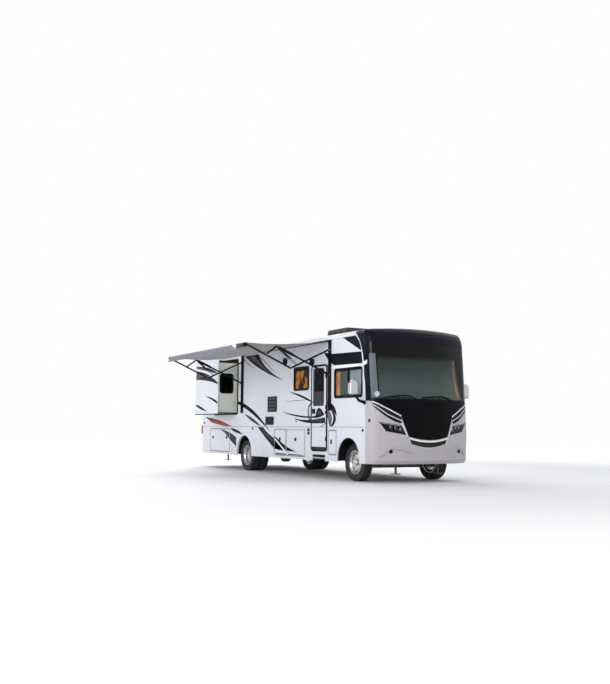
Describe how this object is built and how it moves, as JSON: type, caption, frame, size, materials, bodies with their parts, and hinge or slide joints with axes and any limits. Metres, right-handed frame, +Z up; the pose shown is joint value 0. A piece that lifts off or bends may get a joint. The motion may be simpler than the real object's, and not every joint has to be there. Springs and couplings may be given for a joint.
{
  "type": "motorhome",
  "caption": "Long box-bodied motorhome with a crowned black-and-white nose, patio awning out and rear side room slid out, steering front wheels, twin rear wheels, opening doors.",
  "frame": {"origin": "middle of the bounding box at ground level", "axes": "+X forward along the vehicle, +Y to its left, +Z up"},
  "size_m": [9.5517, 5.0708, 3.582],
  "materials": {
    "frame_black": "satin",
    "iron": "rough cast",
    "axle_black": "satin",
    "bare_steel": "dull",
    "tank_plastic": "matte",
    "exhaust_steel": "heat-dulled",
    "floor_ply": "sealed",
    "bay_plastic": "moulded",
    "body_white": "gloss gel coat",
    "cap_paint": "gloss paint",
    "gloss_black": "high gloss",
    "windshield_glass": "clear",
    "shade_cloth": "matte",
    "window_black": "satin",
    "dark_glass": "tinted",
    "chrome": "polished",
    "lamp_black": "gloss",
    "lamp_clear": "clear",
    "trim_black": "matte",
    "door_white": "gloss",
    "slide_white": "gloss",
    "awning_black": "satin",
    "awning_tube": "satin",
    "awning_cloth": "woven",
    "roof_plastic": "matte",
    "ladder_steel": "polished",
    "vent_black": "matte",
    "tyre": "worn",
    "wheel_chrome": "polished"
  },
  "bodies": {
    "coach": {"awning_arms": "awning_black", "awning_fabric": "awning_cloth", "awning_frame": "awning_black", "awning_tube": "awning_tube", "basement": "bay_plastic", "chassis_frame": "frame_black", "engine_block": "iron", "exhaust": "exhaust_steel", "floor": "floor_ply", "front_axle": "axle_black", "front_cap": "cap_paint", "fuel_tank": "tank_plastic", "grille": "chrome", "hood": "gloss_black", "ladder": "ladder_steel", "lamp_housings": "lamp_black", "lamp_lenses": "lamp_clear", "leaf_springs": "axle_black", "left_skirt": "body_white", "left_wall": "body_white", "mirrors": "chrome", "rear_axle": "axle_black", "rear_bumper": "frame_black", "rear_wall": "body_white", "right_skirt": "body_white", "right_wall": "body_white", "roof": "body_white", "roof_units": "roof_plastic", "shades": "shade_cloth", "side_vents": "vent_black", "stairwell": "bay_plastic", "window_frames": "window_black", "window_panes": "dark_glass", "windshield": "windshield_glass", "wipers": "trim_black"},
    "entry_door": {"entry_door": "door_white", "entry_door_pane": "dark_glass"},
    "slide_room": {"slide_room": "slide_white", "slide_pane": "dark_glass"},
    "service_door": {"service_door": "body_white"},
    "knuckle_right": {"knuckle_right": "axle_black"},
    "knuckle_left": {"knuckle_left": "axle_black"},
    "tie_rod": {"tie_rod": "bare_steel"},
    "front_wheel_right": {"front_tyre_right": "tyre", "front_rim_right": "wheel_chrome"},
    "front_wheel_left": {"front_tyre_left": "tyre", "front_rim_left": "wheel_chrome"},
    "rear_wheels_right": {"rear_tyres_right": "tyre", "rear_rims_right": "wheel_chrome"},
    "rear_wheels_left": {"rear_tyres_left": "tyre", "rear_rims_left": "wheel_chrome"},
    "baggage_door_right_a": {"baggage_door_right_a": "body_white"},
    "baggage_door_right_b": {"baggage_door_right_b": "body_white"},
    "baggage_door_right_c": {"baggage_door_right_c": "body_white"},
    "baggage_door_left_a": {"baggage_door_left_a": "body_white"},
    "baggage_door_left_b": {"baggage_door_left_b": "body_white"}
  },
  "joints": [
    {"name": "entry_door_hinge", "type": "hinge", "parent": "coach", "child": "entry_door", "pos_m": [2.60114, -0.3671, 1.6], "axis": [0, 0, 1], "range_deg": [0, 95]},
    {"name": "service_door_hinge", "type": "hinge", "parent": "coach", "child": "service_door", "pos_m": [3.05114, -0.3671, 0.825], "axis": [0, 0, 1], "range_deg": [0, 95]},
    {"name": "baggage_door_right_a_hinge", "type": "hinge", "parent": "coach", "child": "baggage_door_right_a", "pos_m": [1.16114, -0.3671, 1.11], "axis": [-1, 0, 0], "range_deg": [0, 95]},
    {"name": "baggage_door_right_b_hinge", "type": "hinge", "parent": "coach", "child": "baggage_door_right_b", "pos_m": [0.35114, -0.3671, 1.11], "axis": [-1, 0, 0], "range_deg": [0, 95]},
    {"name": "baggage_door_right_c_hinge", "type": "hinge", "parent": "coach", "child": "baggage_door_right_c", "pos_m": [-3.36386, -0.3671, 1.11], "axis": [-1, 0, 0], "range_deg": [0, 95]},
    {"name": "baggage_door_left_a_hinge", "type": "hinge", "parent": "coach", "child": "baggage_door_left_a", "pos_m": [1.15114, 2.2179, 1.11], "axis": [1, 0, 0], "range_deg": [0, 95]},
    {"name": "baggage_door_left_b_hinge", "type": "hinge", "parent": "coach", "child": "baggage_door_left_b", "pos_m": [-3.36386, 2.2179, 1.11], "axis": [1, 0, 0], "range_deg": [0, 95]},
    {"name": "slide_out", "type": "slide", "parent": "coach", "child": "slide_room", "axis": [0, 1, 0], "range_m": [0, 0.565]},
    {"name": "steer_right", "type": "hinge", "parent": "coach", "child": "knuckle_right", "pos_m": [3.55114, 0.0654, 0.405], "axis": [0, 0, 1], "range_deg": [-35, 35]},
    {"name": "steer_left", "type": "hinge", "parent": "coach", "child": "knuckle_left", "pos_m": [3.55114, 1.7854, 0.405], "axis": [0, 0, 1], "range_deg": [-35, 35]},
    {"name": "tie_rod_end", "type": "hinge", "parent": "knuckle_right", "child": "tie_rod", "pos_m": [3.35114, 0.0654, 0.284], "axis": [0, 0, 1], "range_deg": [-35, 35]},
    {"name": "front_wheel_spin_right", "type": "hinge", "parent": "knuckle_right", "child": "front_wheel_right", "pos_m": [3.55114, -0.0826, 0.405], "axis": [0, 1, 0], "continuous": true},
    {"name": "rear_wheels_spin_right", "type": "hinge", "parent": "coach", "child": "rear_wheels_right", "pos_m": [-1.73186, -0.1626, 0.405], "axis": [0, 1, 0], "continuous": true},
    {"name": "front_wheel_spin_left", "type": "hinge", "parent": "knuckle_left", "child": "front_wheel_left", "pos_m": [3.55114, 1.9334, 0.405], "axis": [0, 1, 0], "continuous": true},
    {"name": "rear_wheels_spin_left", "type": "hinge", "parent": "coach", "child": "rear_wheels_left", "pos_m": [-1.73186, 2.0134, 0.405], "axis": [0, 1, 0], "continuous": true}
  ],
  "couplings": [
    {"joint": "steer_left", "follows": "steer_right", "ratio": 1},
    {"joint": "tie_rod_end", "follows": "steer_right", "ratio": -1}
  ]
}
